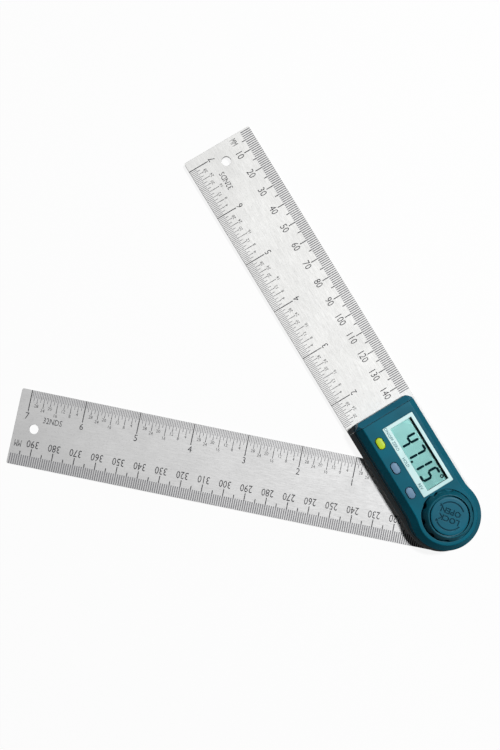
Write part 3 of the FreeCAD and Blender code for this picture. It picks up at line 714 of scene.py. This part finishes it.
# Where the housing, or the other rule, hides the start of each scale
UPPER_SCALES_FROM = 56.0
LOWER_MM_FROM, LOWER_INCHES_FROM = 4.0, 18.0
upper_values = [(number, RULE_REACH - number) for number in range(10, 150, 10)]
lower_values = [(number, number - RULE_REACH) for number in range(220, 400, 10)]
upper_marks = rule_marks("upper", -1, UPPER_RULE_TOP, UPPER_SCALES_FROM, UPPER_SCALES_FROM, upper_values,
                         math.pi, 0.0)
lower_marks = rule_marks("lower", 1, LOWER_RULE_TOP, LOWER_MM_FROM, LOWER_INCHES_FROM, lower_values,
                         0.0, math.pi)
for piece in upper_marks:
    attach(piece, "frame")
for piece in lower_marks:
    turned_about_z(piece, OPENING)
    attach(piece, "arm")


# Display: seven-bar digits, degree ring, a dark lining in the window as painted shade on its inner wall,
# words on the face plate

DIGIT_WIDTH, DIGIT_HEIGHT, BAR = 4.1, 9.4, 1.12
DIGIT_FOOT = 1.6
LEAN = 0.05                    # digits lean this much of their height
BAR_RISE = 0.02
BAR_FOOT = PANEL_TOP + HAIR
BAR_END = 0.42                 # drawn-in end of a bar, as a share of its width
BAR_GAP = 0.15                 # gap at a corner of a digit, as a share of the bar's width
DIGITS = (("4", 35.3), ("7", 29.3), ("1", 23.45), ("5", 17.35))
LIT = {"4": "FGBC", "7": "ABC", "1": "BC", "5": "AFGCD"}
POINT_X, POINT_Y, POINT_SIZE, POINT_ROUND = 28.275, 0.875, 1.05, 0.3
DEGREE_X, DEGREE_Y, DEGREE_RADIUS, DEGREE_BAR = 15.95, -7.3, 0.85, 0.5


def new_bar(name, length):
    """One bar of a digit along X, with its ends drawn in to a blunt point."""
    bar = new_box(name, (-length / 2, -BAR / 2, 0), (length / 2, BAR / 2, BAR_RISE))
    select_edges(bar, lambda a, b: abs(a.z - b.z) > BAR_RISE / 2)
    bpy.ops.mesh.bevel(offset=BAR * BAR_END * MM, segments=3, profile=0.35, affect="EDGES")
    done()
    return bar


def bars_of(digit_x, level_bar, upright_bar, letters, name):
    """Copies of the two bars for the letters of one digit. The digits read towards -X, tops towards -Y."""
    middle_x = digit_x + DIGIT_WIDTH / 2
    left_x, right_x = digit_x + DIGIT_WIDTH - BAR / 2, digit_x + BAR / 2
    foot_y, top_y = DIGIT_FOOT - BAR / 2, DIGIT_FOOT - DIGIT_HEIGHT + BAR / 2
    middle_y = (foot_y + top_y) / 2
    upper_y, lower_y = (middle_y + top_y) / 2, (middle_y + foot_y) / 2
    places = {"A": (level_bar, middle_x, top_y), "G": (level_bar, middle_x, middle_y),
              "D": (level_bar, middle_x, foot_y), "F": (upright_bar, left_x, upper_y),
              "B": (upright_bar, right_x, upper_y), "E": (upright_bar, left_x, lower_y),
              "C": (upright_bar, right_x, lower_y)}
    pieces = []
    for letter in letters:
        bar, x, y = places[letter]
        piece = copy_of(bar, name)
        piece.location = ((x + LEAN * (y - middle_y)) * MM, y * MM, BAR_FOOT * MM)
        piece.rotation_euler = (0, 0, -LEAN if bar is upright_bar else 0)
        settle(piece)
        pieces.append(piece)
    return pieces


level_bar = new_bar("level_bar", DIGIT_WIDTH - BAR - BAR * BAR_GAP)
upright_bar = new_bar("upright_bar", (DIGIT_HEIGHT - BAR) / 2 - BAR * BAR_GAP)
turned_about_z(upright_bar, math.pi / 2)
lit_bars = []
for digit, x in DIGITS:
    lit_bars += bars_of(x, level_bar, upright_bar, LIT[digit], "lit_bar")
point = new_box("decimal_point", (POINT_X - POINT_SIZE / 2, POINT_Y - POINT_SIZE / 2, BAR_FOOT),
                (POINT_X + POINT_SIZE / 2, POINT_Y + POINT_SIZE / 2, BAR_FOOT + BAR_RISE))
select_edges(point, lambda a, b: abs(a.z - b.z) > BAR_RISE / 2)
bpy.ops.mesh.bevel(offset=POINT_ROUND * MM, segments=3, affect="EDGES")
done()
degree = new_round("degree_ring", DEGREE_RADIUS, BAR_FOOT, BAR_FOOT + BAR_RISE, DEGREE_X, DEGREE_Y, sides=32)
select_faces(degree, is_level)
bpy.ops.mesh.inset(thickness=DEGREE_BAR * MM)
bpy.ops.mesh.delete(type="FACE")
done()
pick(level_bar, upright_bar)
bpy.ops.object.delete()
display_digits = join("display_digits", lit_bars + [point, degree])
paint(display_digits, display_ink)

LINING_BITE, LINING_DROP, LINING_WALL = 0.04, 0.08, 0.1    # into the plate, below its top, and its own wall
# The dark lining stands in for the shade on the window's inner walls: painted shade.
window_shade_lining = new_box("window_shade_lining", (WINDOW_X0 - LINING_BITE, WINDOW_Y0 - LINING_BITE, PANE_TOP + HAIR),
                        (WINDOW_X1 + LINING_BITE, WINDOW_Y1 + LINING_BITE, BEZEL_TOP - LINING_DROP))
select_faces(window_shade_lining, is_level)
bpy.ops.mesh.delete(type="FACE")
done()
finish_with(window_shade_lining, "SOLIDIFY", thickness=LINING_WALL * MM, offset=-1.0)
paint(window_shade_lining, shade_lining)

WORDS_Y, WORDS_HEIGHT, WORDS_RISE, WORDS_WEIGHT = 3.6, 1.35, 0.01, 0.012
# Each word beside its button, with its width share and its middle along the rule
PLATE_WORDS = (("ON/OFF ZERO", 0.97, 41.7), ("HOLD", 0.92, 29.65), ("REV", 0.94, 17.1))
bezel_words = join("bezel_words", [
    lettering(words, WORDS_HEIGHT, width, x, WORDS_Y, BEZEL_TOP, math.pi, WORDS_RISE, WORDS_WEIGHT)
    for words, width, x in PLATE_WORDS])
paint(bezel_words, grey_print)
for piece in (display_digits, window_shade_lining, bezel_words):
    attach(piece, "frame")


# Shapes raised or sunk by steps

def step_top(piece, steps):
    """Insets the top face and moves it up or down, once for each pair of inset and rise."""
    select_faces(piece, is_top)
    for inset, rise in steps:
        bpy.ops.mesh.inset(thickness=inset * MM)
        bpy.ops.transform.translate(value=(0, 0, rise * MM))
    done()


# Buttons: crowned keys in place of the plain ones

KEY_LENGTH, KEY_WIDTH = 5.3, 3.2
KEY_FOOT = 0.1                 # the crowned key starts this far over the plain one's underside
KEY_STEPS = ((0.1, 0.12), (0.15, 0.08), (0.4, 0.05))
KEY_CROWN = sum(rise for inset, rise in KEY_STEPS)
KEY_FLAT = 0.08                # half of the flat left at each end of a key


def crowned_button(node, name, body, finish):
    """Key with the outline of the plain one, a soft rim and a low crown."""
    low, high = corners(node)
    x, y = (low.x + high.x) / 2, (low.y + high.y) / 2
    key = new_box(name, (x - KEY_LENGTH / 2, y - KEY_WIDTH / 2, low.z + KEY_FOOT),
                  (x + KEY_LENGTH / 2, y + KEY_WIDTH / 2, high.z - KEY_CROWN))
    select_edges(key, lambda a, b: abs(a.z - b.z) > KEY_WIDTH / 2)
    bpy.ops.mesh.bevel(offset=(KEY_WIDTH / 2 - KEY_FLAT) * MM, segments=10, affect="EDGES")
    done()
    step_top(key, KEY_STEPS)
    smooth(key, 50)
    paint(key, finish)
    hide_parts(node)
    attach(key, body)


crowned_button("button_on_off", "lime_on_off_key", "on_off_key", lime_key)
crowned_button("button_hold", "grey_hold_key", "hold_key", grey_key)
crowned_button("button_reverse", "grey_reverse_key", "reverse_key", grey_key)


# Lock knob: notched grip ring

RING_SHOULDER = 14.8           # where the grip ring starts to lean in
NOTCH_COUNT, NOTCH_RADIUS, NOTCH_DEPTH = 10, 2.2, 0.85
NOTCH_PAST = 1.0               # the notch cutters reach this far past the ring
RING_ROUND = 0.28              # softens the notches' edges
# Inset and rise of each step over the ring's rounded side, its level lip and down into the cap's seat
RING_STEPS = ((0.12, 0.45), (0.5, 0.98), (0.6, 1.12), (0.5, 0.82), (0.33, 0.38), (0.28, 0.0),
              (0.12, -0.12), (0.01, -1.0))


def make_knob():
    """Grip ring with its finger notches."""
    ring = new_round("knob_grip_ring", KNOB_RADIUS, KNOB_BOTTOM, RING_SHOULDER)
    step_top(ring, RING_STEPS)
    cutters = []
    centre = KNOB_RADIUS - NOTCH_DEPTH + NOTCH_RADIUS
    z0, z1 = KNOB_BOTTOM - NOTCH_PAST, KNOB_TOP + NOTCH_PAST
    for n in range(NOTCH_COUNT):
        angle = KNOB_TURN + n * 2 * math.pi / NOTCH_COUNT
        cutters.append(new_round("notch_cutter", NOTCH_RADIUS, z0, z1,
                                 centre * math.cos(angle), centre * math.sin(angle), sides=40))
    cut_away(ring, [join("notch_cutters", cutters)])
    finish_with(ring, "BEVEL", width=RING_ROUND * MM, segments=3, limit_method="ANGLE",
                angle_limit=math.radians(28), use_clamp_overlap=True)
    smooth(ring, 40)
    paint(ring, teal_knob)
    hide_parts("lock_knob")
    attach(ring, "knob")


make_knob()


# Knob cap: crowned disc with sunk words and turning arrows

CAP_RADIUS = 8.4
CAP_BOTTOM = 17.65
CAP_STEPS = ((0.25, 0.09), (0.5, 0.03))
CAP_CROWN = sum(rise for inset, rise in CAP_STEPS)
CAP_ENGRAVE, CAP_CUT_PAST = 0.3, 0.5       # depth of the cuts, and how far their cutters reach past the top
CUT_FLOOR = 0.02               # faces this near the full depth are the floor of a cut
CAP_WORD_HEIGHT, CAP_WORD_WIDTH, CAP_WORD_WEIGHT = 2.6, 1.05, 0.022
CAP_WORDS = (("LOCK", 0.1, 1.65), ("OPEN", 0.3, -1.75))
ARROW_RADIUS, ARROW_LINE, ARROW_HEAD = 6.2, 0.55, 0.85
HEAD_LEAD = 7                  # degrees from the end of an arrow's line to the middle of its head
ARROWS = (("lock_arrow", 152, 44), ("open_arrow", 218, 322))


def arc_arrow(name, start, end, z0, z1):
    """Curved arrow about the pivot: a spun bar and a head at its end angle, in degrees."""
    deselect_all()
    bpy.ops.mesh.primitive_plane_add(size=1, location=(ARROW_RADIUS * MM, 0, (z0 + z1) / 2 * MM),
                                     rotation=(math.pi / 2, 0, 0))
    arc = named(name)
    arc.scale = (ARROW_LINE * MM, (z1 - z0) * MM, 1)
    settle(arc)
    edit(arc)
    bpy.ops.mesh.select_all(action="SELECT")
    bpy.ops.mesh.spin(steps=24, angle=math.radians(start - end), center=(0, 0, 0), axis=(0, 0, 1))
    done()
    turned_about_z(arc, math.radians(start))
    close_seams(arc)
    deselect_all()
    way = 1 if end > start else -1
    tip = math.radians(end + way * HEAD_LEAD)
    place = Vector((ARROW_RADIUS * math.cos(tip), ARROW_RADIUS * math.sin(tip), (z0 + z1) / 2)) * MM
    bpy.ops.mesh.primitive_cylinder_add(vertices=3, radius=ARROW_HEAD * MM, depth=(z1 - z0) * MM,
                                        location=place,
                                        rotation=(0, 0, tip + (math.pi if way < 0 else 0)))
    head = named(name + "_head")
    settle(head)
    return [arc, head]


def make_cap():
    """Disc with its words and arrows cut in. The floor of the cuts is painted darker, as shade."""
    cap = new_round("knob_cap_disc", CAP_RADIUS, CAP_BOTTOM, KNOB_TOP - CAP_CROWN)
    step_top(cap, CAP_STEPS)
    z0, z1 = KNOB_TOP - CAP_ENGRAVE, KNOB_TOP + CAP_CUT_PAST
    cutters = [lettering(words, CAP_WORD_HEIGHT, CAP_WORD_WIDTH, x, y, z0, 0.0, z1 - z0, CAP_WORD_WEIGHT)
               for words, x, y in CAP_WORDS]
    for name, start, end in ARROWS:
        cutters += arc_arrow(name, start, end, z0, z1)
    cut_away(cap, cutters)
    turned_about_z(cap, KNOB_TURN)
    smooth(cap, 30)
    paint(cap, teal_cap, teal_painted_shade)
    # Faces on the floor of a cut take the darker teal: painted shade.
    for face in cap.data.polygons:
        face.material_index = int(abs(face.center.z / MM - z0) < CUT_FLOOR)
    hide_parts("knob_cap")
    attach(cap, "knob")


make_cap()


# Floor, background, lamp and camera

FLOOR_SIZE, FLOOR_DROP = 6.0, 0.0002       # metres


def pale_floor():
    """Paper white to the camera, with the object's shadow. To other light it is a dark grey."""
    material, tree, shader = new_material("pale_floor")
    noise = new_node(tree, "TexNoise", None, {"Vector": object_place(tree), "Scale": 8.0, "Detail": 2.0})
    paper = mixed(tree, noise.outputs["Fac"], (0.94, 0.94, 0.94, 1.0), (0.97, 0.97, 0.97, 1.0))
    shader["Roughness"].default_value = 0.9
    path = new_node(tree, "LightPath").outputs
    mirrored = math_node(tree, "MULTIPLY", path["Is Glossy Ray"], 0.10)
    seen = math_node(tree, "MAXIMUM", path["Is Camera Ray"],
                     math_node(tree, "MAXIMUM", mirrored, path["Is Transmission Ray"]))
    tree.links.new(mixed(tree, seen, (0.10, 0.10, 0.10, 1.0), paper), shader["Base Color"])
    white = new_node(tree, "Emission", None, {"Color": (1, 1, 1, 1), "Strength": 1.0})
    blend = new_node(tree, "MixShader", None, {0: math_node(tree, "MULTIPLY", seen, 0.90),
                                               1: tree.nodes["Principled BSDF"].outputs[0],
                                               2: white.outputs[0]})
    tree.links.new(blend.outputs[0], tree.nodes["Material Output"].inputs["Surface"])
    return material


deselect_all()
bpy.ops.mesh.primitive_plane_add(size=FLOOR_SIZE, location=(0, 0, -FLOOR_DROP))
floor = named("floor")
settle(floor)
paint(floor, pale_floor())

world = bpy.data.worlds.new("studio")
bpy.context.scene.world = world
world.use_nodes = True
sky = world.node_tree
background = sky.nodes["Background"]
# The camera sees white. Metal reflects a grey wall that darkens upwards, and other light is faint
path = new_node(sky, "LightPath").outputs
reflected = math_node(sky, "MAXIMUM", path["Is Glossy Ray"], path["Is Transmission Ray"])
up = new_node(sky, "SeparateXYZ", None, {0: new_node(sky, "TexCoord").outputs["Generated"]}).outputs[2]
ceiling_share = spread(sky, up, 0.0, 1.0, 0.05, 0.45)
ceiling = mixed(sky, ceiling_share, (0.12, 0.12, 0.12, 1.0), (0.032, 0.031, 0.031, 1.0))
indirect = mixed(sky, reflected, (0.010, 0.009, 0.0085, 1.0), ceiling)
sky.links.new(mixed(sky, path["Is Camera Ray"], indirect, (1, 1, 1, 1)), background.inputs["Color"])
background.inputs["Strength"].default_value = 1.0


def soft_lamp(name, power, size, place, target):
    """Round lamp that faces a target. Sizes and places are in metres."""
    deselect_all()
    bpy.ops.object.light_add(type="AREA", location=place)
    lamp = bpy.context.object
    lamp.name = name
    lamp.data.shape = "DISK"
    lamp.data.size = size
    lamp.data.energy = power
    lamp.rotation_euler = (Vector(target) - Vector(place)).to_track_quat("-Z", "Y").to_euler()


soft_lamp("key_lamp", power=30.5, size=0.2, place=(0.11, -0.74, 1.65), target=(0.06, 0.03, 0.0))

camera_data = bpy.data.cameras.new("camera")
camera = bpy.data.objects.new("camera", camera_data)
bpy.context.scene.collection.objects.link(camera)
camera.location = (0.07169, 0.05978, 0.37941)
camera.rotation_euler = (math.radians(2.3899), math.radians(-0.9746), math.radians(-121.2055))
camera_data.lens = 39.4
camera_data.sensor_width = 36.0
camera_data.shift_x = -0.01738
camera_data.shift_y = 0.05049
camera_data.clip_start = 0.01
bpy.context.scene.camera = camera
bpy.context.scene.view_settings.view_transform = "Standard"
